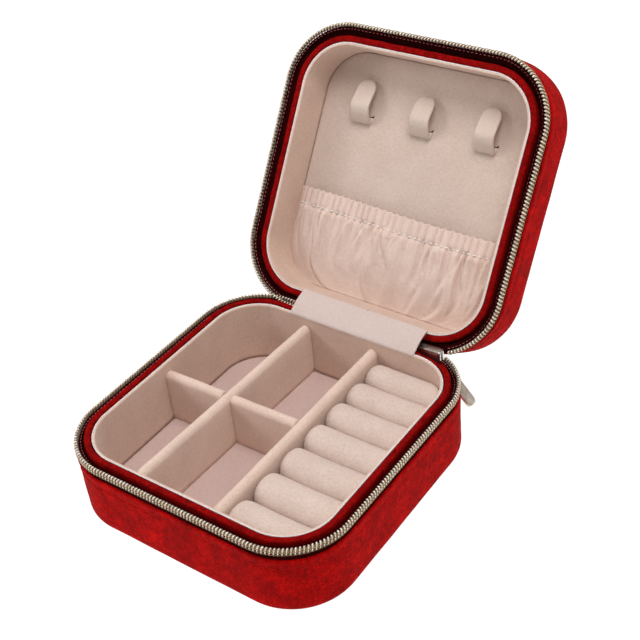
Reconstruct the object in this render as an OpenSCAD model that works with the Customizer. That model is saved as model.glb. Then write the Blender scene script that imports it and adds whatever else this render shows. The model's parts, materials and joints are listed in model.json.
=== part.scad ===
/* [Case] */
// Outer width and depth of the square case
case_w = 100; // [96:1:110]
// Height of the base up to the zip line
base_h = 28; // [26:0.5:32]
// Height of the lid from the zip line
lid_h = 22; // [20:0.5:26]
// Outer corner radius of the base
base_r = 21.5; // [20:0.5:24]
// Outer corner radius of the lid
lid_r = 23; // [20:0.5:24]
// How far the lid stands open, measured from closed
lid_open = 122.5; // [100:0.5:130]
// Rounding of the outer bottom and top edges
edge_r = 4; // [2:0.5:5]

/* [Walls] */
// Thickness of the velvet cover
cover_t = 1.4; // [1:0.1:2]
// Thickness of the side board
board_t = 2; // [1.5:0.1:2.2]
// Thickness of the floor and top boards
plate_t = 1.8; // [1.5:0.1:2.5]
// Distance from the zip line to the edge of the velvet
seam_gap = 4; // [3.8:0.1:5]

/* [Base inside] */
// Half width of the base lining, inside
base_room = 43.4; // [42:0.1:44]
// Thickness of the lining wall
lining_t = 0.9; // [0.6:0.1:1.2]
// Thickness of the floor pad
pad_t = 1.2; // [0.8:0.1:2]
// Height of the divider tops above the table
divider_top = 24; // [20:0.5:25]
// Thickness of a padded divider
divider_t = 3.7; // [2:0.1:4]
// X of the long divider beside the ring rolls
long_x = 11; // [8:0.5:14]
// X of the middle divider
mid_x = -18; // [-20:0.5:-14]
// Y of the cross divider
cross_y = 1; // [-4:0.5:4]
// Turn of the middle divider about the vertical, in degrees
mid_skew = -1.8; // [-2.5:0.1:2.5]
// Turn of the cross divider about the vertical, in degrees
cross_skew = 1.2; // [-2:0.1:2]

/* [Ring rolls] */
// Diameter of the front roll
roll_front = 13.6; // [13.4:0.05:13.7]
// How much slimmer each next roll is
roll_step = 0.43; // [0.4:0.01:0.5]
// Height of the roll axes above the table
roll_axis_z = 16.4; // [15:0.1:17]

/* [Lid inside] */
// Half width of the lid lining, inside
lid_room = 42.6; // [41.5:0.1:43]
// How far the lid collar sits back from the zip line
lid_recess = 1.6; // [1.2:0.1:2]
// Depth of the padded panel below the lid's outer top
panel_depth = 5; // [4.8:0.1:6]
// Width of a hook
hook_w = 7.6; // [6:0.1:9]
// Distance between hooks
hook_pitch = 24.4; // [20:0.1:26]
// Y of the outer hooks' tips with the lid closed
hook_tip_y = -33.2; // [-33.4:0.1:-31]
// Y of the pocket's open edge with the lid closed
pocket_mouth_y = 9.5; // [5:0.5:15]
// Depth of the room inside the pocket
pocket_room = 4.3; // [4.2:0.1:5]

/* [Zip] */
// Height of one row of zip coil
coil_h = 2.75; // [2:0.05:3]
// Length of the slider
slider_l = 9; // [8:0.5:10]
// X of the middle of the slider
slider_x = 30; // [29.5:0.1:30.5]
// Length of the pull tab from its pin to its end
pull_l = 20.5; // [15:0.5:20.5]
// Lean of the pull tab away from straight down, in degrees
pull_lean = 42; // [38:1:45]

/* [Hinge] */
// Width of the inner hinge strap
strap_w = 50; // [40:1:50]
// X of the middle of the hinge strap
strap_x = 2; // [0:0.5:2]
// Distance of the hinge line in from the back face
hinge_in = 2; // [1.5:0.1:2.5]

/* [Hidden] */
$fn = 64;
gap = 0.05;
half = case_w / 2;
hinge_y = half - hinge_in;
hinge_z = base_h;
top_z = base_h + lid_h;
wall_top = base_h - seam_gap;
lid_wall_low = base_h + seam_gap;
board_out = half - cover_t - gap;
board_in = board_out - board_t;
floor_z = cover_t - 0.2 + gap;
pad_z = floor_z + plate_t + gap;
room_z = pad_z + pad_t;
lining_out = base_room + lining_t;
collar_out = 46.8;
tape_in = 47.9;
tape_out = 48.6;
coil_out = half + 0.1;
lid_top_in = top_z - floor_z;
lid_plate_low = lid_top_in - plate_t;
panel_z = top_z - panel_depth;
lid_lining_out = lid_room + lining_t;
lid_collar_z = base_h + lid_recess;
lid_collar_out = 46.1;
zip_left = -25;
zip_right = 36.3;
slider_room_l = 18.6;
collar_dip = 1.7;
wedge_slope = tan(lid_open / 2);
long_face = long_x + divider_t / 2;
roll_back = base_room - 0.15;
strap_lo = strap_x - strap_w / 2;
strap_hi = strap_x + strap_w / 2;
slider_low = 22.6;
slider_high = 28;
slider_y = hinge_y - 0.2;
slider_t = 2.7;
pin_z = 21.1;
pin_r = 0.6;
pin_y = slider_y + slider_t;
plenty = 200;
strap_t = 0.55;
strap_drop = 0.8;
elastic_l = 78;
elastic_w = 5.6;
pocket_skin = 0.9;

// Rounded square, h is its half width
module outline(h, r) {
    square([2 * h, 2 * (h - r)], center = true);
    square([2 * (h - r), 2 * h], center = true);
    for (sx = [-1, 1], sy = [-1, 1])
        translate([sx * (h - r), sy * (h - r)]) circle(r);
}

// Upright ring between two rounded squares that share corner centres
module ring(h_out, h_in, r_out, z0, z1) {
    translate([0, 0, z0])
        linear_extrude(z1 - z0)
            difference() {
                outline(h_out, r_out);
                outline(h_in, r_out - (h_out - h_in));
            }
}

// Corner radius at half width h, for walls concentric with an outer corner
function inner_r(h, r_out) = r_out - (half - h);

// Profile with one rounded lower outer corner, from the axis outward
module edge_profile(w, r) {
    union() {
        translate([0, r]) square([w, plenty / 4]);
        square([w - r, r + 1]);
        translate([w - r, r]) circle(r);
    }
}

// Upright block with a rounded square outline and a rounded lower edge
module soft_block(h, r, height, edge) {
    flat = 2 * (h - r);
    intersection() {
        translate([-plenty / 2, -plenty / 2, 0]) cube([plenty, plenty, height]);
        union() {
            for (sx = [-1, 1], sy = [-1, 1])
                translate([sx * (h - r), sy * (h - r), 0])
                    rotate_extrude()
                        intersection() {
                            edge_profile(r, edge);
                            square([r, plenty / 4]);
                        }
            for (turn = [0, 90])
                rotate([0, 0, turn])
                    translate([0, flat / 2, 0])
                        rotate([90, 0, 0])
                            linear_extrude(flat)
                                for (side = [0, 1])
                                    mirror([side, 0]) edge_profile(h, edge);
        }
    }
}

// Everything behind the hinge line that the turning lid sweeps through
module wedge_cut(up) {
    lift = up ? 1 : -1;
    translate([-plenty / 2, hinge_y, hinge_z])
        rotate([90, 0, 90])
            linear_extrude(plenty)
                polygon([
                    [0, -lift * 0.15],
                    [40, -lift * (40 * wedge_slope + 0.15)],
                    [40, lift * 80],
                    [0, lift * 80]
                ]);
}

// Back stretch where no zip runs
module zip_break() {
    translate([zip_left, 0, 0]) cube([zip_right - zip_left, half + 5, top_z]);
}

// Room for the slider in the walls, z from lo to hi
module slider_room(lo, hi) {
    translate([slider_room_l, lid_collar_out + 0.5, lo])
        cube([zip_right - slider_room_l, 10, hi - lo]);
}

// Stand a closed-lid shape up at the open angle
module opened() {
    translate([0, hinge_y, hinge_z])
        rotate([-lid_open, 0, 0])
            translate([0, -hinge_y, -hinge_z]) children();
}

// Turn a base-like shape over so that it closes the lid's top
module lid_side() {
    translate([0, 0, top_z]) mirror([0, 0, 1]) children();
}

module base_cover() {
    color("firebrick")
        difference() {
            soft_block(half, base_r, wall_top, edge_r);
            translate([0, 0, floor_z - gap])
                linear_extrude(plenty)
                    outline(half - cover_t, inner_r(half - cover_t, base_r));
            slider_room(slider_low - 0.5, top_z);
        }
}

module base_side_board() {
    color("burlywood")
        difference() {
            ring(board_out, board_in, inner_r(board_out, base_r), pad_z, wall_top);
            slider_room(slider_low - 0.5, top_z);
        }
}

module base_floor_board() {
    color("burlywood")
        translate([0, 0, floor_z])
            linear_extrude(plate_t) outline(board_out, inner_r(board_out, base_r));
}

module base_collar() {
    color("darkred")
        difference() {
            union() {
                ring(board_in - gap, lining_out + gap, inner_r(board_in - gap, base_r),
                    pad_z, base_h);
                ring(collar_out, lining_out + gap, inner_r(collar_out, base_r),
                    wall_top + gap, base_h);
            }
            translate([strap_lo - 1, 40, base_h - strap_drop]) cube([strap_w + 2, 10, 5]);
            translate([strap_hi, 40, base_h - collar_dip])
                cube([zip_right + 0.7 - strap_hi, 10, 5]);
        }
}

module base_zip_tape() {
    color("maroon")
        difference() {
            ring(tape_out, tape_in, inner_r(tape_out, base_r), wall_top + gap, base_h - 0.25);
            zip_break();
            wedge_cut(true);
        }
}

module base_zip_coil() {
    color("wheat")
        difference() {
            ring(coil_out, tape_out + gap, inner_r(coil_out, base_r),
                base_h - 0.25 - coil_h, base_h - 0.25);
            zip_break();
            wedge_cut(true);
        }
}

module base_lining() {
    color("bisque")
        ring(lining_out, base_room, inner_r(lining_out, base_r), pad_z, base_h - 0.85);
}

module base_floor_pad() {
    color("rosybrown")
        translate([0, 0, pad_z])
            linear_extrude(pad_t)
                outline(base_room - gap, inner_r(base_room - gap, base_r));
}

// Upright divider outline seen from its end, with a rounded top
module divider_profile(t) {
    translate([-t / 2, room_z + gap]) square([t, divider_top - t / 2 - room_z - gap]);
    translate([0, divider_top - t / 2]) circle(t / 2);
}

// Divider along Y from y0 to y1
module divider_along(y0, y1, t) {
    translate([0, y1, 0]) rotate([90, 0, 0]) linear_extrude(y1 - y0) divider_profile(t);
}

module divider_long() {
    color("bisque")
        translate([long_x, 0, 0])
            divider_along(-base_room + gap, base_room - gap, divider_t);
}

// Upright slab through the middle of a divider, for the slot it leaves in the other
module slot_slab(skew, y, z0, z1) {
    wide = divider_t + 2 * gap;
    translate([mid_x, y, z0])
        rotate([0, 0, skew]) translate([-wide / 2, -case_w, 0]) cube([wide, 2 * case_w, z1 - z0]);
}

// The two short dividers slot into each other, each cut to half its height
module divider_mid() {
    half_z = (room_z + divider_top) / 2;
    color("bisque")
        difference() {
            intersection() {
                translate([mid_x, 0, 0])
                    rotate([0, 0, mid_skew]) divider_along(-half, half, divider_t);
                translate([-half, -base_room + gap, 0])
                    cube([case_w, 2 * (base_room - gap), base_h]);
            }
            slot_slab(cross_skew + 90, cross_y, 0, half_z + gap);
        }
}

module divider_cross() {
    half_z = (room_z + divider_top) / 2;
    color("bisque")
        difference() {
            intersection() {
                translate([mid_x, cross_y, 0])
                    rotate([0, 0, cross_skew + 90]) divider_along(-case_w, case_w, divider_t);
                translate([-base_room + gap, -half, 0])
                    cube([base_room - gap + long_x - divider_t / 2 - gap, case_w, base_h]);
            }
            slot_slab(mid_skew, 0, half_z, plenty);
        }
}

// Diameter of roll i, counted from the front, and the Y where it starts
function roll_d(i) = roll_front - roll_step * i;
function roll_y(i) = -roll_back + i * roll_front - roll_step * i * (i - 1) / 2;

module ring_roll(i) {
    color("bisque")
        intersection() {
            translate([long_face + gap, roll_y(i) + roll_d(i) / 2, roll_axis_z])
                rotate([0, 90, 0])
                    cylinder(d = roll_d(i) - gap, h = roll_back - long_face - gap);
            linear_extrude(plenty) outline(roll_back, inner_r(roll_back, base_r));
        }
}

module ring_bed() {
    bed_top = roll_axis_z - roll_front / 2 - gap;
    color("lightgray")
        intersection() {
            translate([long_face + gap, -roll_back, room_z + gap])
                cube([roll_back, 2 * roll_back, bed_top - room_z - gap]);
            linear_extrude(plenty) outline(roll_back, inner_r(roll_back, base_r));
        }
}

// Prism of cloth behind the hinge line, between the end of the wall and the wedge
module spine_prism() {
    difference() {
        translate([zip_left + 0.3, tape_in - 0.6, wall_top + gap])
            cube([slider_room_l - zip_left - 0.6, half - tape_in + 0.5, seam_gap - 0.1]);
        wedge_cut(true);
    }
}

module spine_base() {
    color("firebrick") spine_prism();
}

module hinge_strap_base() {
    color("bisque")
        translate([strap_lo, base_room, base_h - strap_drop + gap])
            cube([strap_w, collar_out - base_room, strap_t]);
}

module lid_cover() {
    color("firebrick")
        opened()
            difference() {
                lid_side() soft_block(half, lid_r, top_z - lid_wall_low, edge_r);
                translate([0, 0, lid_top_in + gap - plenty])
                    linear_extrude(plenty)
                        outline(half - cover_t, inner_r(half - cover_t, lid_r));
                slider_room(0, lid_wall_low + 2);
            }
}

module lid_side_board() {
    color("burlywood")
        opened()
            difference() {
                ring(board_out, board_in, inner_r(board_out, lid_r),
                    lid_wall_low, lid_plate_low - gap);
                slider_room(0, lid_wall_low + 2);
            }
}

module lid_top_board() {
    color("burlywood")
        opened()
            translate([0, 0, lid_plate_low])
                linear_extrude(plate_t) outline(board_out, inner_r(board_out, lid_r));
}

module lid_collar() {
    color("darkred")
        opened()
            ring(lid_collar_out, lid_lining_out + gap, inner_r(lid_collar_out, lid_r),
                lid_collar_z, lid_plate_low - gap);
}

module lid_zip_tape() {
    color("maroon")
        opened()
            difference() {
                ring(tape_out, tape_in, inner_r(tape_out, lid_r),
                    base_h + 0.25, lid_wall_low - gap);
                zip_break();
                wedge_cut(false);
            }
}

module lid_zip_coil() {
    color("wheat")
        opened()
            difference() {
                ring(coil_out, tape_out + gap, inner_r(coil_out, lid_r),
                    base_h + 0.25, base_h + 0.25 + coil_h);
                zip_break();
                wedge_cut(false);
            }
}

module lid_lining() {
    color("bisque")
        opened()
            ring(lid_lining_out, lid_room, inner_r(lid_lining_out, lid_r),
                lid_collar_z + 0.6, lid_plate_low - gap);
}

module lid_panel() {
    color("bisque")
        opened()
            translate([0, 0, panel_z])
                linear_extrude(lid_plate_low - gap - panel_z)
                    outline(lid_room - gap, inner_r(lid_room - gap, lid_r));
}

// Bent strip along X: a round knee under the slit and a straight arm to the tip
module hook_strip(w) {
    slit_y = -20.3;
    knee_r = 2.4;
    strip = 1.2;
    arm_l = 13.4;
    translate([0, slit_y, panel_z - gap - knee_r])
        difference() {
            union() {
                rotate([0, 90, 0]) cylinder(r = knee_r, h = w);
                translate([0, 0, -knee_r + 0.1])
                    rotate([-12, 0, 0]) translate([0, -arm_l, 0]) cube([w, arm_l + 0.6, strip]);
            }
            translate([-1, 0, 0])
                rotate([0, 90, 0]) cylinder(r = knee_r - strip, h = w + 2);
            translate([-1, -knee_r - 0.2, -0.7]) cube([w + 2, knee_r + 0.2, 2 * knee_r]);
        }
}

// Hook seen square on: straight sides and a round tip
module hook_outline(tip_y) {
    translate([0, tip_y + hook_w / 2]) circle(d = hook_w);
    translate([-hook_w / 2, tip_y + hook_w / 2]) square([hook_w, 20]);
}

module hook(x, tip_y) {
    color("antiquewhite")
        opened()
            intersection() {
                translate([x - hook_w, 0, 0]) hook_strip(2 * hook_w);
                translate([x, 0, 0]) linear_extrude(plenty) hook_outline(tip_y);
            }
}

// Pocket seen from its side: flat front, round lower end, open towards the mouth
module pocket_profile(grow) {
    back = lid_room - 0.4 + grow;
    front_z = panel_z - gap - pocket_room - grow;
    r = pocket_room + grow;
    translate([pocket_mouth_y - 1, front_z]) square([back - r - pocket_mouth_y + 1, r]);
    intersection() {
        translate([back - r, panel_z - gap]) circle(r);
        translate([back - r - 1, front_z - 1]) square([r + 2, r + 1]);
    }
}

module pocket_cloth() {
    hem_z = panel_z - gap - pocket_room - pocket_skin;
    color("mistyrose")
        opened()
            intersection() {
                translate([0, 0, panel_z - 10])
                    linear_extrude(10)
                        outline(lid_room - 0.3, inner_r(lid_room - 0.3, lid_r));
                difference() {
                    translate([-half, 0, 0])
                        rotate([90, 0, 90])
                            linear_extrude(case_w)
                                difference() {
                                    pocket_profile(pocket_skin - 0.1);
                                    pocket_profile(0);
                                    square([pocket_mouth_y, plenty]);
                                }
                    translate([-elastic_l / 2, pocket_mouth_y + 0.5, hem_z + 0.28])
                        cube([elastic_l, elastic_w, 0.44]);
                }
            }
}

module pocket_elastic() {
    hem_z = panel_z - gap - pocket_room - pocket_skin;
    color("white")
        opened()
            translate([-elastic_l / 2 + gap, pocket_mouth_y + 0.5 + gap, hem_z + 0.3])
                cube([elastic_l - 2 * gap, elastic_w - 2 * gap, 0.4]);
}

module spine_lid() {
    color("firebrick")
        opened() translate([0, 0, 2 * hinge_z]) mirror([0, 0, 1]) spine_prism();
}

module hinge_strap_lid() {
    color("bisque")
        opened()
            translate([strap_lo, lid_room, lid_collar_z - gap - strap_t])
                cube([strap_w, lid_collar_out - lid_room, strap_t]);
}

// Two plates with a post between them, and a lug for the pin on the outer plate
module slider_body() {
    plate = 0.75;
    height = slider_high - slider_low;
    x0 = slider_x - slider_l / 2;
    color("lightsteelblue")
        union() {
            translate([x0, slider_y, slider_low]) cube([slider_l, plate, height]);
            translate([x0, slider_y + slider_t - plate, slider_low])
                cube([slider_l, plate, height]);
            translate([x0 + 1, slider_y, slider_low + height / 2 - 0.6])
                cube([3.4, slider_t, 1.2]);
            for (z = [slider_low, slider_high - 0.6])
                translate([x0 + 2.5, slider_y, z]) cube([slider_l - 2.5, slider_t, 0.6]);
            translate([slider_x - 1.6, half + gap, pin_z - 1.4])
                cube([3.2, pin_y - half - gap, slider_low - pin_z + 1.5]);
        }
}

module slider_pin() {
    color("silver")
        translate([slider_x, pin_y + gap, pin_z])
            rotate([-90, 0, 0]) {
                cylinder(r = pin_r, h = 1.5);
                translate([0, 0, 1.2]) cylinder(r = 0.95, h = 0.3);
            }
}

// Flat tab whose width runs along the pin, with a narrow eye at its top
module pull_tab() {
    eye_y = pin_y + 0.25;
    eye_t = 0.85;
    tab_w = 4.2;
    tab_t = 1.5;
    neck = 4.5;
    color("tan")
        translate([slider_x, eye_y, pin_z])
            rotate([0, -pull_lean, 0])
                difference() {
                    union() {
                        rotate([-90, 0, 0]) cylinder(r = 1.3, h = eye_t);
                        translate([-tab_t / 2, 0, -neck - 0.5]) cube([tab_t, eye_t, neck + 0.5]);
                        translate([-tab_t / 2, 0, -pull_l + tab_w / 2])
                            cube([tab_t, tab_w, pull_l - neck - tab_w / 2]);
                        translate([-tab_t / 2, tab_w / 2, -pull_l + tab_w / 2])
                            rotate([0, 90, 0]) cylinder(d = tab_w, h = tab_t);
                    }
                    translate([0, -1, 0])
                        rotate([-90, 0, 0]) cylinder(r = pin_r + 0.06, h = 5);
                }
}

base_cover();
base_side_board();
base_floor_board();
base_collar();
base_zip_tape();
base_zip_coil();
base_lining();
base_floor_pad();
divider_long();
divider_mid();
divider_cross();
ring_bed();
ring_roll(0);  // ring_roll_1
ring_roll(1);  // ring_roll_2
ring_roll(2);  // ring_roll_3
ring_roll(3);  // ring_roll_4
ring_roll(4);  // ring_roll_5
ring_roll(5);  // ring_roll_6
ring_roll(6);  // ring_roll_7
spine_base();
hinge_strap_base();
lid_cover();
lid_side_board();
lid_top_board();
lid_collar();
lid_zip_tape();
lid_zip_coil();
lid_lining();
lid_panel();
hook(-hook_pitch - 0.3, hook_tip_y);  // hook_left
hook(-0.6, hook_tip_y + 1.4);  // hook_centre
hook(hook_pitch, hook_tip_y);  // hook_right
pocket_cloth();
pocket_elastic();
spine_lid();
hinge_strap_lid();
slider_body();
slider_pin();
pull_tab();
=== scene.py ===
"""Visual model of the travel jewelry case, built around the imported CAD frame."""
import json
import math
import random

import bmesh
import bpy
import numpy as np
from mathutils import Matrix, Quaternion, Vector, noise


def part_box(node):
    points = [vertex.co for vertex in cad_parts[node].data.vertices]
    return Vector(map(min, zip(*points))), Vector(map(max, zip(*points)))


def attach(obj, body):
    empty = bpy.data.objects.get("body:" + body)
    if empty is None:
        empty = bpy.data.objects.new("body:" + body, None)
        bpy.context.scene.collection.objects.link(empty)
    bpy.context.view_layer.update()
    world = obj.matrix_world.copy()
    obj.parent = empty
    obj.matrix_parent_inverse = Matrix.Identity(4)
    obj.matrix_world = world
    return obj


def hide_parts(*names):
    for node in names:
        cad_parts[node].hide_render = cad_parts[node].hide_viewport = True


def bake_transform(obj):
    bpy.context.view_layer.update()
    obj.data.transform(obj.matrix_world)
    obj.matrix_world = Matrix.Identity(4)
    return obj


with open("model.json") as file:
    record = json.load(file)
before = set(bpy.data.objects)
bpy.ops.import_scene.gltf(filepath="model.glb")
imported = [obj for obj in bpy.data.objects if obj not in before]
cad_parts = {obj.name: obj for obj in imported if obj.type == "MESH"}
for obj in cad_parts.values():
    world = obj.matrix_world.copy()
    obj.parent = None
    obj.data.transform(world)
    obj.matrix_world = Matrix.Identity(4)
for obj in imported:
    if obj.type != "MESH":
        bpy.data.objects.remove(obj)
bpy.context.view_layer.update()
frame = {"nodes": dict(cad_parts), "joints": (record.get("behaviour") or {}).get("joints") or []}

MM = 0.001
random.seed(7)
scene = bpy.context.scene

# ---------------------------------------------------------------- frame facts, in millimetres
joints = {j["name"]: j for j in frame["joints"]}
HINGE = [v / MM for v in joints["lid_hinge"]["pos_m"]]
OPEN_ANGLE = math.radians(joints["lid_hinge"]["range_deg"][1])
PULL_AT = [v / MM for v in joints["pull_swing"]["pos_m"]]
ZIP_Z = HINGE[2]
LID_BODY, BASE_BODY = "lid", "base"
OPEN = (
    Matrix.Translation(HINGE)
    @ Matrix.Rotation(-OPEN_ANGLE, 4, "X")
    @ Matrix.Translation([-v for v in HINGE])
)
CLOSE = OPEN.inverted()


def box_mm(node):
    low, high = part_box(node)
    return [v / MM for v in low], [v / MM for v in high]


def lid_box_mm(node):
    """The node's box with the lid closed."""
    pts = [CLOSE @ (v.co / MM) for v in frame["nodes"][node].data.vertices]
    return [min(p[i] for p in pts) for i in range(3)], [max(p[i] for p in pts) for i in range(3)]


HALF = box_mm("base_cover")[1][0]
# corner radii in plan
BASE_R, LID_R = 21.5, 23.0
WALL_TOP = box_mm("base_cover")[1][2]
LID_LOW = lid_box_mm("lid_cover")[0][2]
TOP_Z = lid_box_mm("lid_cover")[1][2]
BASE_ROOM = -box_mm("divider_long")[0][1] + 0.05
FLOOR_Z = box_mm("base_floor_pad")[1][2]
DIV_TOP = box_mm("divider_long")[1][2]
LINING_TOP = box_mm("base_lining")[1][2]
COLLAR_OUT = box_mm("base_collar")[1][0]
PANEL_Z = lid_box_mm("lid_panel")[0][2]
LID_ROOM = lid_box_mm("lid_panel")[1][0] + 0.05
LID_RIM = lid_box_mm("lid_lining")[0][2]
LID_COLLAR_Z = lid_box_mm("lid_collar")[0][2]
LID_COLLAR_OUT = lid_box_mm("lid_collar")[1][0]
# x of the two ends of the zip along the back, and the y past which a point belongs to the back
ZIP_L, ZIP_R = -25.0, 36.3
NEAR_BACK = 40.0
TAPE_RIGHT = box_mm("spine_base")[1][0] + 0.4


# ---------------------------------------------------------------- mesh helpers
def make(name, verts, faces, body, mat, lid=False, smooth=True):
    """A mesh object from millimetre vertices; lid=True stands a closed-lid shape up."""
    if lid:
        verts = [OPEN @ Vector(v) for v in verts]
    me = bpy.data.meshes.new(name)
    me.from_pydata([(v[0] * MM, v[1] * MM, v[2] * MM) for v in verts], [], faces)
    bm = bmesh.new()
    bm.from_mesh(me)
    bmesh.ops.recalc_face_normals(bm, faces=bm.faces)
    bm.to_mesh(me)
    bm.free()
    for p in me.polygons:
        p.use_smooth = smooth
    me.materials.append(mat)
    obj = bpy.data.objects.new(name, me)
    scene.collection.objects.link(obj)
    if body:
        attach(obj, body)
    return obj


def apply_modifiers(obj):
    dg = bpy.context.evaluated_depsgraph_get()
    dg.update()
    me = bpy.data.meshes.new_from_object(obj.evaluated_get(dg))
    obj.modifiers.clear()
    obj.data = me


def subdivide(obj, levels=1):
    mod = obj.modifiers.new("subdivision", "SUBSURF")
    mod.levels = levels
    mod.render_levels = levels
    apply_modifiers(obj)


def loop_path(half, radius, step):
    """Points, outward normals and arc lengths round a rounded square, from the middle of the back
    by way of the left side."""
    c = half - radius
    pts, nor = [], []

    def line(p, q, n):
        k = max(1, round(math.dist(p, q) / step))
        for i in range(k):
            pts.append((p[0] + (q[0] - p[0]) * i / k, p[1] + (q[1] - p[1]) * i / k))
            nor.append(n)

    def arc(cx, cy, a0):
        k = max(10, round(radius * math.pi / 2 / step))
        for i in range(k):
            a = math.radians(a0 + 90 * i / k)
            pts.append((cx + radius * math.cos(a), cy + radius * math.sin(a)))
            nor.append((math.cos(a), math.sin(a)))

    line((0, half), (-c, half), (0, 1))
    arc(-c, c, 90)
    line((-half, c), (-half, -c), (-1, 0))
    arc(-c, -c, 180)
    line((-c, -half), (c, -half), (0, -1))
    arc(c, -c, 270)
    line((half, -c), (half, c), (1, 0))
    arc(c, c, 0)
    line((c, half), (0, half), (0, 1))
    pts, nor = np.array(pts), np.array(nor)
    seg = np.linalg.norm(np.diff(np.vstack([pts, pts[:1]]), axis=0), axis=1)
    return pts, nor, np.concatenate([[0], np.cumsum(seg)])


def zip_path(half, radius, step, right=ZIP_R):
    """Evenly spaced points and normals of the open run between the two ends of the zip at the back."""
    pts, nor, arc = loop_path(half, radius, 0.4)
    pts = np.vstack([pts, pts[:1]])
    nor = np.vstack([nor, nor[:1]])
    back = pts[:, 1] > 0
    n = len(pts)
    start = next(i for i in range(n) if pts[i, 0] <= ZIP_L)
    stop = next(i for i in range(n - 1, 0, -1) if back[i] and pts[i, 0] >= right)
    s0, s1 = arc[start], arc[stop]
    count = int((s1 - s0) / step)
    s = s0 + (s1 - s0) * np.arange(count + 1) / count
    out_p = np.stack([np.interp(s, arc, pts[:, k]) for k in (0, 1)], 1)
    out_n = np.stack([np.interp(s, arc, nor[:, k]) for k in (0, 1)], 1)
    out_n /= np.linalg.norm(out_n, axis=1)[:, None]
    return out_p, out_n


def bevelled(points, radii, n=4):
    """A closed outline with its corners rounded by the given radii."""
    out = []
    m = len(points)
    for i in range(m):
        p, a, b = Vector(points[i]), Vector(points[i - 1]), Vector(points[(i + 1) % m])
        r = radii[i] if hasattr(radii, "__len__") else radii
        if r <= 0:
            out.append(tuple(p))
            continue
        ta, tb = min(r, 0.48 * (a - p).length), min(r, 0.48 * (b - p).length)
        q0, q1 = p + (a - p).normalized() * ta, p + (b - p).normalized() * tb
        for k in range(n + 1):
            t = k / n
            q = q0 * (1 - t) ** 2 + p * 2 * t * (1 - t) + q1 * t * t
            # a circle bulges a little more than the parabola does
            out.append(tuple(q + (p - q) * 0.16 * 4 * t * (1 - t)))
    return out


def ring_grid(profile, half, radius, step):
    """Vertices of a closed profile of (half width, z) carried round a rounded square."""
    pts, nor, _ = loop_path(half, radius, step)
    prof = np.array(profile)
    xy = pts[:, None, :] + nor[:, None, :] * (prof[None, :, 0, None] - half)
    z = np.broadcast_to(prof[None, :, 1, None], xy[..., :1].shape)
    return np.concatenate([xy, z], axis=2), nor


def grid_faces(rows, cols, wrap_rows=True, wrap_cols=True, offset=0):
    faces = []
    for i in range(rows if wrap_rows else rows - 1):
        for k in range(cols if wrap_cols else cols - 1):
            a, b = i * cols + k, i * cols + (k + 1) % cols
            c, d = ((i + 1) % rows) * cols + (k + 1) % cols, ((i + 1) % rows) * cols + k
            faces.append((a + offset, b + offset, c + offset, d + offset))
    return faces


def end_faces(rows, cols, offset=0):
    """The two flat ends of a grid whose rows are closed loops."""
    last = offset + (rows - 1) * cols
    return [tuple(offset + k for k in range(cols)), tuple(last + k for k in range(cols))]


def ring_piece(name, profile, half, radius, body, mat, step=1.6, shift=None, lid=False):
    grid, nor = ring_grid(profile, half, radius, step)
    if shift:
        for i in range(grid.shape[0]):
            for k in range(grid.shape[1]):
                grid[i, k] = shift(grid[i, k], (nor[i][0], nor[i][1]))
    faces = grid_faces(grid.shape[0], grid.shape[1])
    return make(name, grid.reshape(-1, 3), faces, body, mat, lid=lid)


def capsules(items, radius, body, mat, name, lid=False, sides=6, flat=1.0):
    """Many short rounded stitches, each given by its two ends and the direction it stands out in."""
    verts, faces = [], []
    rings = [(-0.0, 0.25), (0.12, 0.75), (0.3, 1.0), (0.7, 1.0), (0.88, 0.75), (1.0, 0.25)]
    for a, b, up in items:
        a, b, up = Vector(a), Vector(b), Vector(up).normalized()
        side = (b - a).cross(up).normalized()
        base = len(verts)
        for t, w in rings:
            c = a.lerp(b, t)
            for k in range(sides):
                g = 2 * math.pi * k / sides
                verts.append(
                    c + side * (math.cos(g) * radius * w) + up * (math.sin(g) * radius * w * flat)
                )
        for i in range(len(rings) - 1):
            for k in range(sides):
                p, q = base + i * sides + k, base + i * sides + (k + 1) % sides
                faces.append((p, q, q + sides, p + sides))
        faces += end_faces(len(rings), sides, base)
    return make(name, verts, faces, body, mat, lid=lid)


def tube(points, ups, radius, sides=8, closed=False, scale=None, flat=1.0):
    """Vertices and faces of a tube along points; ups are directions across it."""
    n = len(points)
    verts, faces = [], []
    pts = [Vector(p) for p in points]
    for i, p in enumerate(pts):
        a = pts[(i - 1) % n] if closed or i else p
        b = pts[(i + 1) % n] if closed or i < n - 1 else p
        tangent = (b - a).normalized()
        up = Vector(ups[i])
        up = (up - tangent * up.dot(tangent)).normalized()
        side = tangent.cross(up)
        r = radius * (scale[i] if scale is not None else 1.0)
        for k in range(sides):
            g = 2 * math.pi * k / sides
            verts.append(p + side * (math.cos(g) * r) + up * (math.sin(g) * r * flat))
    faces = grid_faces(n, sides, wrap_rows=closed)
    if not closed:
        faces += end_faces(n, sides)
    return verts, faces


def smooth_noise(p, scale, depth=2):
    """Fractal noise about 0 at a point in millimetres; scale is the size of a feature in mm."""
    q = Vector(p) / scale
    total, amp = 0.0, 1.0
    for _ in range(depth):
        total += amp * noise.noise(q)
        q = q * 2.1
        amp *= 0.5
    return total


def catmull(points, count):
    """A smooth curve through points, with count steps between each two."""
    pts = [Vector(p) for p in points]
    ext = [pts[0] * 2 - pts[1]] + pts + [pts[-1] * 2 - pts[-2]]
    out = []
    for i in range(len(pts) - 1):
        p0, p1, p2, p3 = ext[i:i + 4]
        for k in range(count):
            t = k / count
            out.append(0.5 * (p1 * 2 + (p2 - p0) * t + (p0 * 2 - p1 * 5 + p2 * 4 - p3) * t * t
                              + (p1 * 3 - p0 - p2 * 3 + p3) * t ** 3))
    out.append(pts[-1])
    return out


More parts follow.
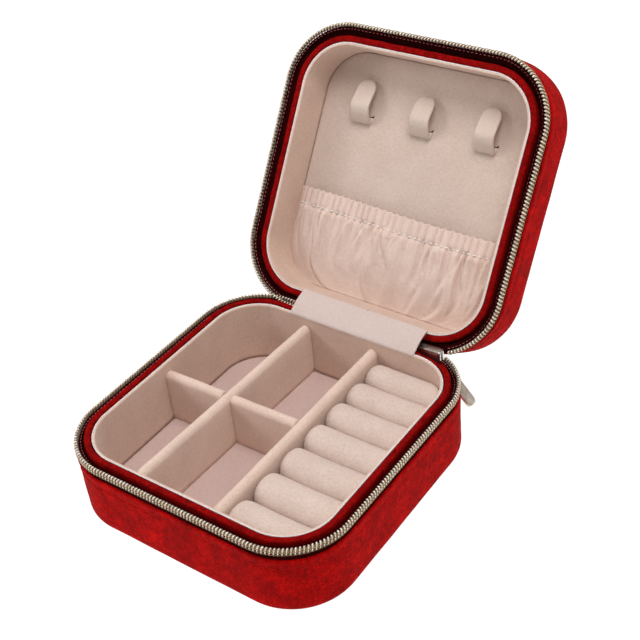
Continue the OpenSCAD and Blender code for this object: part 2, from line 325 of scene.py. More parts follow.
# ---------------------------------------------------------------- materials
def new_material(name, rough=0.8, metallic=0.0):
    mat = bpy.data.materials.new(name)
    mat.use_nodes = True
    nt = mat.node_tree
    bsdf = nt.nodes["Principled BSDF"]
    bsdf.inputs["Roughness"].default_value = rough
    bsdf.inputs["Metallic"].default_value = metallic
    coords = nt.nodes.new("ShaderNodeTexCoord")
    return mat, nt, bsdf, coords


def tex_noise(nt, coords, size_mm, detail=3.0, rough=0.55, stretch=(1, 1, 1), distortion=0.0):
    mapping = nt.nodes.new("ShaderNodeMapping")
    mapping.inputs["Scale"].default_value = stretch
    nt.links.new(coords.outputs["Object"], mapping.inputs["Vector"])
    node = nt.nodes.new("ShaderNodeTexNoise")
    node.inputs["Scale"].default_value = 1.0 / (size_mm * MM)
    node.inputs["Detail"].default_value = detail
    node.inputs["Roughness"].default_value = rough
    node.inputs["Distortion"].default_value = distortion
    nt.links.new(mapping.outputs["Vector"], node.inputs["Vector"])
    return node.outputs["Fac"]


def ramp(nt, fac, stops):
    node = nt.nodes.new("ShaderNodeValToRGB")
    el = node.color_ramp.elements
    while len(el) < len(stops):
        el.new(0.5)
    for e, (pos, col) in zip(el, stops):
        e.position = pos
        e.color = (*col, 1.0)
    nt.links.new(fac, node.inputs["Fac"])
    return node.outputs["Color"]


def maths(nt, op, a, b):
    node = nt.nodes.new("ShaderNodeMath")
    node.operation = op
    for sock, val in zip(node.inputs, (a, b)):
        if isinstance(val, (int, float)):
            sock.default_value = val
        else:
            nt.links.new(val, sock)
    return node.outputs[0]


def bump(nt, bsdf, heights):
    """Chained bumps; heights is a list of (socket, strength, depth in mm)."""
    last = None
    for h, strength, depth in heights:
        node = nt.nodes.new("ShaderNodeBump")
        node.inputs["Strength"].default_value = strength
        node.inputs["Distance"].default_value = depth * MM
        nt.links.new(h, node.inputs["Height"])
        if last:
            nt.links.new(last, node.inputs["Normal"])
        last = node.outputs["Normal"]
    nt.links.new(last, bsdf.inputs["Normal"])


def velvet(name, dark, mid, bright, tint, patch=7.0, sheen=0.5):
    """Crushed velvet: mottled pile that lies in patches, with a soft sheen."""
    mat, nt, bsdf, co = new_material(name, rough=0.85)
    big = tex_noise(nt, co, patch, 4.0, 0.62, distortion=0.6)
    small = tex_noise(nt, co, 1.3, 3.0, 0.6)
    pile = tex_noise(nt, co, 0.42, 2.0, 0.6)
    tone = maths(nt, "ADD", maths(nt, "MULTIPLY", big, 0.34), maths(nt, "MULTIPLY", small, 0.28))
    tone = maths(nt, "ADD", tone, maths(nt, "MULTIPLY", pile, 0.38))
    col = ramp(nt, tone, [(0.33, dark), (0.5, mid), (0.66, bright)])
    nt.links.new(col, bsdf.inputs["Base Color"])
    bsdf.inputs["Sheen Weight"].default_value = sheen
    bsdf.inputs["Sheen Roughness"].default_value = 0.45
    bsdf.inputs["Sheen Tint"].default_value = (*tint, 1.0)
    bsdf.inputs["Specular IOR Level"].default_value = 0.05
    bump(nt, bsdf, [(big, 0.25, 0.7), (small, 0.45, 0.25), (pile, 0.7, 0.14)])
    return mat


def suede(name, dark, light, rough=0.85, grain=0.5, sheen=0.2, wrinkle=0.0):
    """Microfibre: a fine pebbled nap with faint brushed clouds."""
    mat, nt, bsdf, co = new_material(name, rough=rough)
    cloud = tex_noise(nt, co, 9.0, 3.0, 0.6)
    nap = tex_noise(nt, co, 0.75, 4.0, 0.62, distortion=0.35)
    fine = tex_noise(nt, co, 0.2, 2.0, 0.5)
    tone = maths(nt, "ADD", maths(nt, "MULTIPLY", cloud, 0.22), maths(nt, "MULTIPLY", nap, 0.46))
    tone = maths(nt, "ADD", tone, maths(nt, "MULTIPLY", fine, 0.32))
    col = ramp(nt, tone, [(0.34, dark), (0.64, light)])
    nt.links.new(col, bsdf.inputs["Base Color"])
    bsdf.inputs["Sheen Weight"].default_value = sheen
    bsdf.inputs["Sheen Roughness"].default_value = 0.5
    bsdf.inputs["Sheen Tint"].default_value = (1.0, 0.93, 0.88, 1.0)
    bsdf.inputs["Specular IOR Level"].default_value = 0.2
    heights = [(nap, grain, 0.16), (fine, grain * 0.6, 0.05)]
    if wrinkle:
        folds = tex_noise(nt, co, 1.5, 2.0, 0.5, distortion=1.2)
        heights.insert(0, (folds, wrinkle, 0.3))
    bump(nt, bsdf, heights)
    return mat


def woven(name, dark, light, pitch=0.35, rough=0.75, sheen=0.15):
    """Narrow woven tape: rows of small crossing threads."""
    mat, nt, bsdf, co = new_material(name, rough=rough)
    waves = []
    for direction in ("X", "Y", "Z"):
        w = nt.nodes.new("ShaderNodeTexWave")
        w.wave_type = "BANDS"
        w.bands_direction = direction
        w.inputs["Scale"].default_value = 1.0 / (pitch * MM) / 3.2
        w.inputs["Distortion"].default_value = 0.6
        w.inputs["Detail"].default_value = 1.0
        nt.links.new(co.outputs["Object"], w.inputs["Vector"])
        waves.append(w.outputs["Fac"])
    h = maths(nt, "MULTIPLY", maths(nt, "ADD", maths(nt, "ADD", waves[0], waves[1]), waves[2]), 0.333)
    cloud = tex_noise(nt, co, 2.0, 3.0, 0.6)
    tone = maths(nt, "ADD", maths(nt, "MULTIPLY", h, 0.55), maths(nt, "MULTIPLY", cloud, 0.45))
    nt.links.new(ramp(nt, tone, [(0.25, dark), (0.7, light)]), bsdf.inputs["Base Color"])
    bsdf.inputs["Sheen Weight"].default_value = sheen
    bsdf.inputs["Specular IOR Level"].default_value = sheen
    bump(nt, bsdf, [(h, 0.6, 0.1)])
    return mat


def metal(name, dark, light, rough=0.25, scratch=0.15, metallic=1.0):
    mat, nt, bsdf, co = new_material(name, rough=rough, metallic=metallic)
    cloud = tex_noise(nt, co, 1.6, 4.0, 0.6)
    lines = tex_noise(nt, co, 0.25, 3.0, 0.6, stretch=(1.0, 1.0, 0.08))
    nt.links.new(ramp(nt, cloud, [(0.35, dark), (0.65, light)]), bsdf.inputs["Base Color"])
    rr = nt.nodes.new("ShaderNodeMapRange")
    rr.inputs["To Min"].default_value = rough * 0.75
    rr.inputs["To Max"].default_value = rough * 1.5
    nt.links.new(cloud, rr.inputs["Value"])
    nt.links.new(rr.outputs["Result"], bsdf.inputs["Roughness"])
    bump(nt, bsdf, [(lines, scratch, 0.03)])
    return mat


def board(name):
    mat, nt, bsdf, co = new_material(name, rough=0.9)
    fibre = tex_noise(nt, co, 0.8, 4.0, 0.65, stretch=(0.3, 1, 1))
    cloud = tex_noise(nt, co, 5.0, 3.0, 0.6)
    tone = maths(nt, "ADD", maths(nt, "MULTIPLY", fibre, 0.5), maths(nt, "MULTIPLY", cloud, 0.5))
    col = ramp(nt, tone, [(0.3, (0.2, 0.16, 0.12)), (0.7, (0.42, 0.35, 0.27))])
    nt.links.new(col, bsdf.inputs["Base Color"])
    bump(nt, bsdf, [(fibre, 0.4, 0.15)])
    return mat


M_VELVET = velvet("crushed_velvet", (0.1, 0.0005, 0.0004), (0.33, 0.001, 0.0008), (0.66, 0.003, 0.002),
                  (1.0, 0.02, 0.015), patch=6.0, sheen=0.1)
M_COLLAR = velvet("collar_velvet", (0.07, 0.0006, 0.0006), (0.2, 0.001, 0.001), (0.4, 0.003, 0.002),
                  (1.0, 0.02, 0.015), patch=2.5, sheen=0.08)
M_SPINE = velvet("spine_velvet", (0.1, 0.002, 0.003), (0.28, 0.006, 0.006), (0.5, 0.02, 0.016),
                 (1.0, 0.12, 0.08), patch=6.0, sheen=0.3)
M_SUEDE = suede("lining_suede", (0.56, 0.395, 0.315), (0.73, 0.55, 0.46))
M_PAD = suede("divider_suede", (0.61, 0.445, 0.365), (0.79, 0.615, 0.525), grain=0.45)
M_FLOOR = suede("floor_suede", (0.5, 0.36, 0.325), (0.62, 0.47, 0.435), grain=0.45)
M_ROLL = suede("roll_suede", (0.53, 0.405, 0.35), (0.7, 0.57, 0.5), grain=0.6, sheen=0.25)
M_PANEL = suede("panel_suede", (0.518, 0.396, 0.33), (0.655, 0.535, 0.467), grain=0.75)
M_POCKET = suede("pocket_cloth", (0.63, 0.475, 0.405), (0.75, 0.605, 0.535), grain=0.5, sheen=0.2,
                 wrinkle=0.4)
M_STRAP = suede("strap_leatherette", (0.56, 0.445, 0.405), (0.66, 0.55, 0.51), rough=0.6, grain=0.3,
                sheen=0.05)
M_HOOK = suede("hook_leatherette", (0.55, 0.44, 0.375), (0.65, 0.535, 0.465), rough=0.5, grain=0.28,
               sheen=0.0)
# partly painted shade: the tape's own dark maroon, pushed towards black to stand for the shade in the
# channel by the collar, behind the slider and in the band under the coil
M_TAPE_AND_SHADE = woven("zip_tape", (0.005, 0.0008, 0.001), (0.045, 0.004, 0.004), sheen=0.0)
M_STITCH_RED = woven("stitch_red", (0.26, 0.006, 0.005), (0.5, 0.02, 0.016), pitch=0.2, sheen=0.0)
M_STITCH_PINK = woven("stitch_pink", (0.3, 0.07, 0.07), (0.55, 0.2, 0.19), pitch=0.2)
# painted highlight: a near-white suede for the thin bright line along the lining rims
M_RIM_HIGHLIGHT = suede("rim_highlight", (0.6, 0.57, 0.56), (0.84, 0.82, 0.81), grain=0.4, sheen=0.1)
M_STITCH_WHITE = woven("stitch_white", (0.75, 0.72, 0.7), (0.93, 0.92, 0.9), pitch=0.2)
# painted shade: a dark woven material laid where the slits and notches hold only shade
M_SLIT_SHADE = woven("slit_shadow", (0.02, 0.014, 0.012), (0.06, 0.045, 0.04), pitch=0.3)
M_COIL = metal("zip_coil", (0.6, 0.5, 0.38), (0.92, 0.85, 0.74), rough=0.32, scratch=0.1, metallic=0.65)
M_CORD = woven("coil_cord", (0.13, 0.07, 0.035), (0.4, 0.27, 0.14), pitch=0.3)
M_SLIDER = metal("slider_metal", (0.55, 0.52, 0.48), (0.84, 0.81, 0.77), rough=0.28)
M_PULL = metal("pull_metal", (0.55, 0.46, 0.38), (0.74, 0.65, 0.56), rough=0.36)
M_BOARD = board("pulp_board")
M_FOAM = suede("foam", (0.55, 0.52, 0.48), (0.7, 0.68, 0.64), grain=0.9, sheen=0.0)


# ---------------------------------------------------------------- camera, light and floor
camera = bpy.data.objects.new("camera", bpy.data.cameras.new("camera"))
camera.data.lens = 66.26
camera.data.sensor_width = 36.0
camera.data.clip_start = 0.01
camera.location = (0.1906, -0.2093, 0.2716)
camera.rotation_mode = "QUATERNION"
camera.rotation_quaternion = Quaternion((0.8595166, 0.4129186, 0.1695253, 0.2489791))
scene.collection.objects.link(camera)
scene.camera = camera
scene.view_settings.view_transform = "Standard"
scene.view_settings.look = "None"

world = bpy.data.worlds.new("studio")
world.use_nodes = True
world.node_tree.nodes["Background"].inputs["Color"].default_value = (1.0, 0.985, 0.97, 1.0)
world.node_tree.nodes["Background"].inputs["Strength"].default_value = 0.38
scene.world = world


def area_light(name, at, target, size, power, color=(1, 1, 1)):
    data = bpy.data.lights.new(name, "AREA")
    data.shape = "DISK"
    data.size = size
    data.energy = power
    data.color = color
    obj = bpy.data.objects.new(name, data)
    obj.location = at
    obj.rotation_mode = "QUATERNION"
    obj.rotation_quaternion = (Vector(target) - Vector(at)).to_track_quat("-Z", "Y")
    scene.collection.objects.link(obj)


LOOK_AT = (0.0, 0.02, 0.03)
area_light("key", (0.2, -0.06, 0.8), LOOK_AT, 0.42, 4.2, (1.0, 0.985, 0.97))
area_light("fill", (-0.66, -0.4, 0.5), LOOK_AT, 0.4, 2.3, (0.99, 0.99, 1.0))
area_light("rim", (0.1, 0.7, 0.6), LOOK_AT, 0.5, 1.0)

floor_half = 1.5
floor_mat, _, floor_bsdf, _ = new_material("floor_white", rough=0.9)
floor_bsdf.inputs["Base Color"].default_value = (0.2, 0.2, 0.2, 1.0)
floor_bsdf.inputs["Emission Color"].default_value = (1.0, 1.0, 1.0, 1.0)
floor_bsdf.inputs["Emission Strength"].default_value = 1.0
floor = make(
    "studio_floor",
    [(x * floor_half / MM, y * floor_half / MM, -0.02) for x, y in ((-1, -1), (1, -1), (1, 1), (-1, 1))],
    [(0, 1, 2, 3)], None, floor_mat, smooth=False,
)


# ---------------------------------------------------------------- velvet covers
# how far the rolled edge lies below the CAD wall, and the seam below the edge
EDGE_DROP, SEAM_DROP = 0.85, 3.6


def cover_profile(edge_z, floor_in):
    """Half width and height of the cover's section, open side up, floor at 0."""
    r = 4.0
    out = [(HALF - r - 6, 0.0), (HALF - r - 2, 0.0)]
    for k in range(8):
        a = math.radians(-90 + 90 * k / 7)
        out.append((HALF - r + r * math.cos(a), r + r * math.sin(a)))
    z = r + 1.6
    while z < edge_z - 5:
        out.append((HALF, z))
        z += 1.7
    seam = edge_z - SEAM_DROP
    out += [(HALF, seam - 0.9), (HALF - 0.03, seam - 0.45), (HALF - 0.16, seam),
            (HALF - 0.03, seam + 0.45), (HALF, seam + 0.9), (HALF, edge_z - 1.2),
            (HALF - 0.05, edge_z - 0.55), (HALF - 0.3, edge_z - 0.12), (HALF - 0.65, edge_z),
            (HALF - 1.0, edge_z - 0.12), (HALF - 1.2, edge_z - 0.5), (HALF - 1.27, edge_z - 1.3)]
    out += [(HALF - 1.27, edge_z * 0.5), (HALF - 1.27, floor_in + 3.5), (HALF - 2.4, floor_in + 0.9),
            (HALF - 5.0, floor_in)]
    return out


def velvet_shell(name, node, radius, edge_z, body, lid):
    """Outer skin with its rolled edge, a flat underside and an inner face behind the boards."""
    prof = cover_profile(edge_z, 1.1)
    grid, nor = ring_grid(prof, HALF, radius, 1.5)
    rows, cols = grid.shape[:2]
    verts = [tuple(v) for v in grid.reshape(-1, 3)]
    faces = grid_faces(rows, cols, wrap_cols=False)

    def cap(k):
        loops = [[i * cols + k for i in range(rows)]]
        for share in (0.72, 0.45, 0.2):
            base = len(verts)
            for i in range(rows):
                v = grid[i, k]
                verts.append((v[0] * share, v[1] * share, v[2]))
            loops.append([base + i for i in range(rows)])
        for a, b in zip(loops, loops[1:]):
            for i in range(rows):
                j = (i + 1) % rows
                faces.append((a[i], a[j], b[j], b[i]))
        verts.append((0.0, 0.0, grid[0, k][2]))
        for i in range(rows):
            faces.append((loops[-1][i], loops[-1][(i + 1) % rows], len(verts) - 1))

    cap(0)
    cap(cols - 1)
    seam = edge_z - SEAM_DROP
    # the last points of the section are the rolled edge and the inner face, which stay plain
    inner_points = 10
    for i in range(rows * cols):
        n = nor[i // cols]
        x, y, z = verts[i]
        if i % cols < cols - inner_points and z > 0.05:
            soft = min(1.0, z / 4.0)
            swell = 0.16 * smooth_noise((x, y, z * 1.4), 16.0, 3) * soft
            pucker = 0.07 * smooth_noise((x, y, z * 0.4), 2.6, 2) * math.exp(-((z - seam) / 2.2) ** 2)
            d = swell + pucker - 0.14
            verts[i] = (x + n[0] * d, y + n[1] * d, z)
    if lid:
        verts = [(v[0], v[1], TOP_Z - v[2]) for v in verts]
    obj = make(name, verts, faces, body, M_VELVET, lid=lid)
    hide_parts(node)


velvet_shell("base_velvet", "base_cover", BASE_R, WALL_TOP - EDGE_DROP, BASE_BODY, False)
velvet_shell("lid_velvet", "lid_cover", LID_R, TOP_Z - LID_LOW - EDGE_DROP, LID_BODY, True)


def seam_stitches(name, radius, z, body, lid, pitch=3.1, length=2.2):
    pts, nor, arc = loop_path(HALF, radius, 0.5)
    total = arc[-1]
    items = []
    pts2, nor2 = np.vstack([pts, pts[:1]]), np.vstack([nor, nor[:1]])
    for i in range(int(total / pitch)):
        s0 = i * pitch
        ends = []
        for s in (s0, s0 + length):
            p = np.array([np.interp(s, arc, pts2[:, 0]), np.interp(s, arc, pts2[:, 1])])
            n = np.array([np.interp(s, arc, nor2[:, 0]), np.interp(s, arc, nor2[:, 1])])
            p = p - n * 0.2
            ends.append(((p[0], p[1], z), n))
        items.append((ends[0][0], ends[1][0], (ends[0][1][0], ends[0][1][1], 0)))
    capsules(items, 0.12, body, M_STITCH_RED, name, lid=lid)


seam_stitches("base_seam", BASE_R, WALL_TOP - EDGE_DROP - SEAM_DROP, BASE_BODY, False)
seam_stitches("lid_seam", LID_R, LID_LOW + EDGE_DROP + SEAM_DROP, LID_BODY, True)


# ---------------------------------------------------------------- collars and linings
STRAP_LO, STRAP_HI = box_mm("hinge_strap_base")[0][0], box_mm("hinge_strap_base")[1][0]


def step_between(x, a, b, soft=1.0):
    def s(t):
        t = min(1.0, max(0.0, t))
        return t * t * (3 - 2 * t)
    return s((x - a) / soft + 0.5) * s((b - x) / soft + 0.5)


def base_collar_shift(v, n):
    x, y, z = v
    high = min(1.0, max(0.0, (z - 24.0) / 3.0))
    if y > NEAR_BACK:
        drop = 0.85 * step_between(x, STRAP_LO - 1, STRAP_HI + 0.5)
        drop = max(drop, 1.75 * step_between(x, STRAP_HI + 0.2, ZIP_R + 0.5))
        z -= drop * high
    d = 0.1 * smooth_noise((x, y, z), 4.0, 2) * high
    return (x + n[0] * d, y + n[1] * d, z - 0.05 * high + 0.08 * smooth_noise((x, y, 9), 5.0, 2) * high)


LINING_OUT = box_mm("base_lining")[1][0]
collar = ring_piece(
    "base_collar_velvet",
    bevelled([(LINING_OUT + 0.5, 18), (LINING_OUT + 0.5, ZIP_Z - 0.1), (COLLAR_OUT + 0.1, ZIP_Z - 0.1),
              (COLLAR_OUT + 0.1, 18)], [0, 1.0, 1.0, 0], 5),
    HALF, BASE_R, BASE_BODY, M_COLLAR, step=1.2, shift=base_collar_shift)
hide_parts("base_collar")


def lining_shift(across):
    """Small unevenness of a lining wall; across is its size in mm."""
    def shift(v, n):
        d = across * smooth_noise(v, 6.0)
        return v[0] + n[0] * d, v[1] + n[1] * d, v[2] + 0.06 * smooth_noise((v[0], v[1], 3), 7.0)
    return shift


base_wall = ring_piece(
    "base_lining_suede",
    [(BASE_ROOM, FLOOR_Z - 1.0)] + [(BASE_ROOM, FLOOR_Z + 1 + k * 1.9) for k in range(11)]
    + bevelled([(BASE_ROOM, LINING_TOP - 1.2), (BASE_ROOM, LINING_TOP), (LINING_OUT, LINING_TOP),
                (LINING_OUT, LINING_TOP - 1.5)], [0, 0.55, 0.4, 0], 4) + [(LINING_OUT, FLOOR_Z - 1.0)],
    HALF, BASE_R, BASE_BODY, M_SUEDE, step=1.5, shift=lining_shift(0.05))
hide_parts("base_lining")


def rim_highlight(name, half, z, radius, body, lid):
    """Painted highlight along the lining's outer rim: a thin pale round line."""
    wire = 0.24
    profile = [(half + wire * math.cos(math.radians(a)), z + wire * math.sin(math.radians(a)))
               for a in range(0, 360, 60)]
    ring_piece(name, profile, HALF, radius, body, M_RIM_HIGHLIGHT, step=1.2, lid=lid)


LID_LINING_OUT = lid_box_mm("lid_lining")[1][0]
rim_highlight("base_rim_highlight", LINING_OUT - 0.05, LINING_TOP - 0.12, BASE_R, BASE_BODY, False)
rim_highlight("lid_rim_highlight", LID_LINING_OUT - 0.05, LID_RIM + 0.12, LID_R, LID_BODY, True)


def lid_collar_shift(v, n):
    x, y, z = v
    near = min(1.0, max(0.0, (LID_COLLAR_Z + 4 - z) / 3.0))
    d = 0.1 * smooth_noise((x, y, z), 4.0, 2) * near
    return (x + n[0] * d, y + n[1] * d, z + 0.08 * near - 0.08 * smooth_noise((x, y, 9), 5.0, 2) * near)


collar = ring_piece(
    "lid_collar_velvet",
    bevelled([(LID_LINING_OUT + 0.2, PANEL_Z), (LID_LINING_OUT + 0.2, LID_COLLAR_Z),
              (LID_COLLAR_OUT - 0.2, LID_COLLAR_Z), (LID_COLLAR_OUT - 0.2, PANEL_Z)],
             [0, 1.05, 1.05, 0], 5),
    HALF, LID_R, LID_BODY, M_COLLAR, step=1.2, shift=lid_collar_shift, lid=True)
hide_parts("lid_collar")

lid_wall = ring_piece(
    "lid_lining_suede",
    [(LID_ROOM, PANEL_Z + 1.0)] + [(LID_ROOM, PANEL_Z - 1 - k * 1.8) for k in range(7)]
    + bevelled([(LID_ROOM, LID_RIM + 1.2), (LID_ROOM, LID_RIM), (LID_LINING_OUT, LID_RIM),
                (LID_LINING_OUT, LID_RIM + 1.5)], [0, 0.55, 0.4, 0], 4)
    + [(LID_LINING_OUT, PANEL_Z + 1.0)],
    HALF, LID_R, LID_BODY, M_SUEDE, step=1.5, lid=True, shift=lining_shift(0.06))
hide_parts("lid_lining")


# ---------------------------------------------------------------- zip tapes and coils
def tape_piece(name, node, radius, z0, z1, body, lid):
    """Woven tape standing behind the coil, with its row of sewing on the inner face."""
    pts, nor = zip_path(HALF, radius, 1.2, right=TAPE_RIGHT)
    zf = z0 + 1.55 if not lid else z1 - 1.55
    zt = z1 if not lid else z0
    up = 1 if not lid else -1
    prof = bevelled([(-3.7, zf), (-1.25, zf), (-1.2, zf - 1.5 * up), (-0.8, zf - 1.5 * up),
                     (-0.6, zf + 0.8 * up), (-1.5, zf + 1.6 * up), (-1.5, zt), (-1.95, zt),
                     (-2.0, zf + 0.45 * up), (-3.7, zf + 0.45 * up)],
                    [0.1, 0.1, 0.1, 0.1, 0.3, 0.3, 0.2, 0.2, 0.2, 0.1], 2)
    verts = []
    for p, n in zip(pts, nor):
        # past the end of the coil only the flat sewn part goes on
        flat = p[1] > NEAR_BACK and 0 < p[0] < ZIP_R
        for d, z in prof:
            wave = 0.06 * smooth_noise((p[0], p[1], z), 3.0)
            if flat and (z - zf) * up > 0.45:
                z = zf + 0.45 * up
            verts.append((p[0] + n[0] * (d + wave), p[1] + n[1] * (d + wave), z))
    faces = grid_faces(len(pts), len(prof), wrap_rows=False)
    faces += end_faces(len(pts), len(prof))
    # the near-black tape colour is partly painted shade of the channel and of the band under the coil
    obj = make(name, verts, faces, body, M_TAPE_AND_SHADE, lid=lid)
    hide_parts(node)
    middle = zt - 0.5 * up
    spots, n2 = zip_path(HALF, radius, 1.5)
    items = []
    for i in range(len(spots) - 1):
        a, b = spots[i], spots[i] + (spots[i + 1] - spots[i]) * 0.55
        off = n2[i] * -1.97
        items.append(((a[0] + off[0], a[1] + off[1], middle), (b[0] + off[0], b[1] + off[1], middle),
                      (-n2[i][0], -n2[i][1], 0)))
    capsules(items, 0.16, body, M_STITCH_PINK, name + "_sewing", lid=lid)


# depth of the coil's middle inside the outer wall
COIL_IN = 0.62


def coil_piece(name, node, radius, z_mid, head_up, body, lid, phase):
    """The zip's row of coil: one long spiral with a swollen head on the meshing side of every turn."""
    pitch, per_turn, sides = 1.19, 14, 6
    half_h, half_d, wire = 1.16, 0.44, 0.245
    pts, nor = zip_path(HALF - COIL_IN, radius - COIL_IN, pitch / per_turn)
    centre, ups, scale = [], [], []
    for i, (p, n) in enumerate(zip(pts, nor)):
        g = 2 * math.pi * (i / per_turn + phase)
        a, b = math.cos(g), math.sin(g)
        # a flattened loop: superellipse between the straight legs and the round head
        k = (abs(a) ** 2.6 + abs(b) ** 2.6) ** (-1 / 2.6)
        out, rise = a * k * half_d, b * k * half_h
        head = max(0.0, b) ** 6 if head_up else max(0.0, -b) ** 6
        centre.append((p[0] + n[0] * out, p[1] + n[1] * out, z_mid + rise))
        ups.append((n[0] * a, n[1] * a, b))
        scale.append(1.0 + 0.42 * head)
    verts, faces = tube(centre, ups, wire, sides=sides, scale=scale)
    obj = make(name, verts, faces, body, M_COIL, lid=lid)
    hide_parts(node)
    core_p, core_n = zip_path(HALF - COIL_IN, radius - COIL_IN, 0.7)
    line = [(p[0], p[1], z_mid + 0.05 * math.sin(i * 2.1)) for i, p in enumerate(core_p)]
    verts, faces = tube(line, [(n[0], n[1], 0) for n in core_n], 0.85, sides=8, flat=0.3)
    make(name + "_cord", verts, faces, body, M_CORD, lid=lid)
    for tag, rise in (("upper", 0.35), ("lower", -0.75)):
        z = z_mid + (rise if head_up else -rise)
        run_p, run_n = zip_path(HALF - COIL_IN, radius - COIL_IN, pitch / 6)
        line = []
        for i, (p, n) in enumerate(zip(run_p, run_n)):
            out = COIL_IN + 0.08 * math.cos(2 * math.pi * i / 6)
            line.append((p[0] + n[0] * out, p[1] + n[1] * out, z))
        verts, faces = tube(line, [(n[0], n[1], 0) for n in run_n], 0.1, sides=5)
        make(f"{name}_thread_{tag}", verts, faces, body, M_CORD, lid=lid)


# height from the closing line of the zip to the free edge of each tape
TAPE_GAP = 1.15
COIL_Z = (box_mm("base_zip_coil")[0][2] + box_mm("base_zip_coil")[1][2]) / 2
LID_COIL_Z = (lid_box_mm("lid_zip_coil")[0][2] + lid_box_mm("lid_zip_coil")[1][2]) / 2
tape_piece("base_tape", "base_zip_tape", BASE_R, WALL_TOP - 1.5, ZIP_Z - TAPE_GAP, BASE_BODY, False)
tape_piece("lid_tape", "lid_zip_tape", LID_R, ZIP_Z + TAPE_GAP, LID_LOW + 1.5, LID_BODY, True)
coil_piece("base_coil", "base_zip_coil", BASE_R, COIL_Z, True, BASE_BODY, False, 0.0)
coil_piece("lid_coil", "lid_zip_coil", LID_R, LID_COIL_Z, False, LID_BODY, True, 0.5)


# ---------------------------------------------------------------- floor pad, dividers and rolls
def pad_sheet(name, node, half, radius, z_top, thick, body, mat, lid, drop=0.45):
    """A soft flat pad with a rounded square outline whose edge rolls away from its walls."""
    pts, nor, _ = loop_path(half, radius, 1.6)
    rows = len(pts)
    bands = [0.0, 0.35, 0.8, 1.5, 2.6, 4.5]
    sign = -1 if lid else 1
    verts, faces, loops = [], [], []

    def add_loop(fn, z_fn):
        base = len(verts)
        for p, n in zip(pts, nor):
            x, y = fn(p, n)
            verts.append((x, y, z_fn(x, y)))
        loops.append([base + i for i in range(rows)])

    def top(x, y, fall):
        return z_top + sign * (0.06 * smooth_noise((x, y, 5), 7.0, 2) - fall)

    add_loop(lambda p, n: (p[0], p[1]), lambda x, y: z_top - sign * thick)
    for b in bands:
        fall = drop * max(0.0, 1 - b / 1.6) ** 2.2
        add_loop(lambda p, n, b=b: (p[0] - n[0] * b, p[1] - n[1] * b),
                 lambda x, y, fall=fall: top(x, y, fall))
    for share in (0.88, 0.8, 0.72, 0.64, 0.56, 0.48, 0.4, 0.32, 0.24, 0.16, 0.08):
        add_loop(lambda p, n, share=share: ((p[0] - n[0] * 4.5) * share, (p[1] - n[1] * 4.5) * share),
                 lambda x, y: top(x, y, 0))
    for a, b in zip(loops, loops[1:]):
        for i in range(rows):
            j = (i + 1) % rows
            faces.append((a[i], a[j], b[j], b[i]))
    verts.append((0, 0, top(0, 0, 0)))
    for i in range(rows):
        faces.append((loops[-1][i], loops[-1][(i + 1) % rows], len(verts) - 1))
    faces.append(tuple(loops[0]))
    obj = make(name, verts, faces, body, mat, lid=lid)
    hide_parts(node)


pad_sheet("base_floor_suede", "base_floor_pad", BASE_ROOM - 0.1, BASE_R - HALF + BASE_ROOM - 0.1,
          FLOOR_Z, 1.1, BASE_BODY, M_FLOOR, False)
pad_sheet("lid_panel_suede", "lid_panel", LID_ROOM - 0.1, LID_R - HALF + LID_ROOM - 0.1,
          PANEL_Z, 1.6, LID_BODY, M_PANEL, True, drop=0.18)

# cloth behaves badly at a few millimetres, so the simulation runs enlarged by this factor
SIM_SCALE = 40.0
SIM_FRAMES = 20
soft_queue = []


def soft_block(name, verts, faces, body, mat, voxel, pressure, cap, fill, nodes, clamp):
    """Queues a padded block: remeshed, swelled by cloth under pressure and limited to its own room."""
    obj = make(name, verts, faces, None, mat)
    soft_queue.append(dict(obj=obj, body=body, voxel=voxel, pressure=pressure, cap=cap, fill=fill,
                           nodes=nodes, clamp=clamp))


# height of the rounded part of a divider's top
CREST = 2.0


def divider_block(name, node, start, stop, thick, top, low):
    """A padded upright panel between two plan points, soft along its top."""
    start, stop = Vector((*start, 0)), Vector((*stop, 0))
    along = stop - start
    length = along.length
    along.normalize()
    side = Vector((-along.y, along.x, 0))
    nl = max(8, round(length / 1.6))
    section = bevelled([(-thick / 2, low), (thick / 2, low)], 0.0)
    for k in range(15):
        a = math.pi * k / 14
        section.append((thick / 2 * math.cos(a) * (1 - 0.08 * math.sin(a)),
                        top - CREST + CREST * math.sin(a) ** 0.85))
    # more points up the sides, so that they can swell
    dense = []
    for i, p in enumerate(section):
        q = section[(i + 1) % len(section)]
        dense.append(p)
        gap_len = math.dist(p, q)
        for k in range(1, int(gap_len / 2.2) + 1):
            t = k / (int(gap_len / 2.2) + 1)
            dense.append((p[0] + (q[0] - p[0]) * t, p[1] + (q[1] - p[1]) * t))
    # each station: its place along the panel, its share of the width and how far its top falls
    ends = [(0.0, 0.82, 0.35), (0.12, 0.93, 0.15), (0.4, 1.0, 0.0)]
    stations = list(ends)
    stations += [(0.4 + (length - 0.8) * k / nl, 1.0, 0.0) for k in range(1, nl)]
    stations += [(length - d, w, f) for d, w, f in reversed(ends)]
    verts = []
    for d, w, f in stations:
        for u, z in dense:
            p = start + along * d
            swell = 1 + 0.05 * math.sin(math.pi * min(1, max(0, (z - low) / (top - low))))
            wob = 0.06 * smooth_noise((p.x + u, p.y, z), 5.0, 2)
            q = p + side * (u * w * swell + wob)
            sag = 0.1 * smooth_noise((p.x, p.y, 2), 9.0, 1) if z > top - 2 else 0.0
            verts.append((q.x, q.y, z - (f if z > top - 1.4 else 0.0) + sag))
    n = len(dense)
    faces = grid_faces(len(stations), n, wrap_rows=False)
    faces += end_faces(len(stations), n)
    obj = make(name, verts, faces, BASE_BODY, M_PAD)
    if node:
        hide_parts(node)


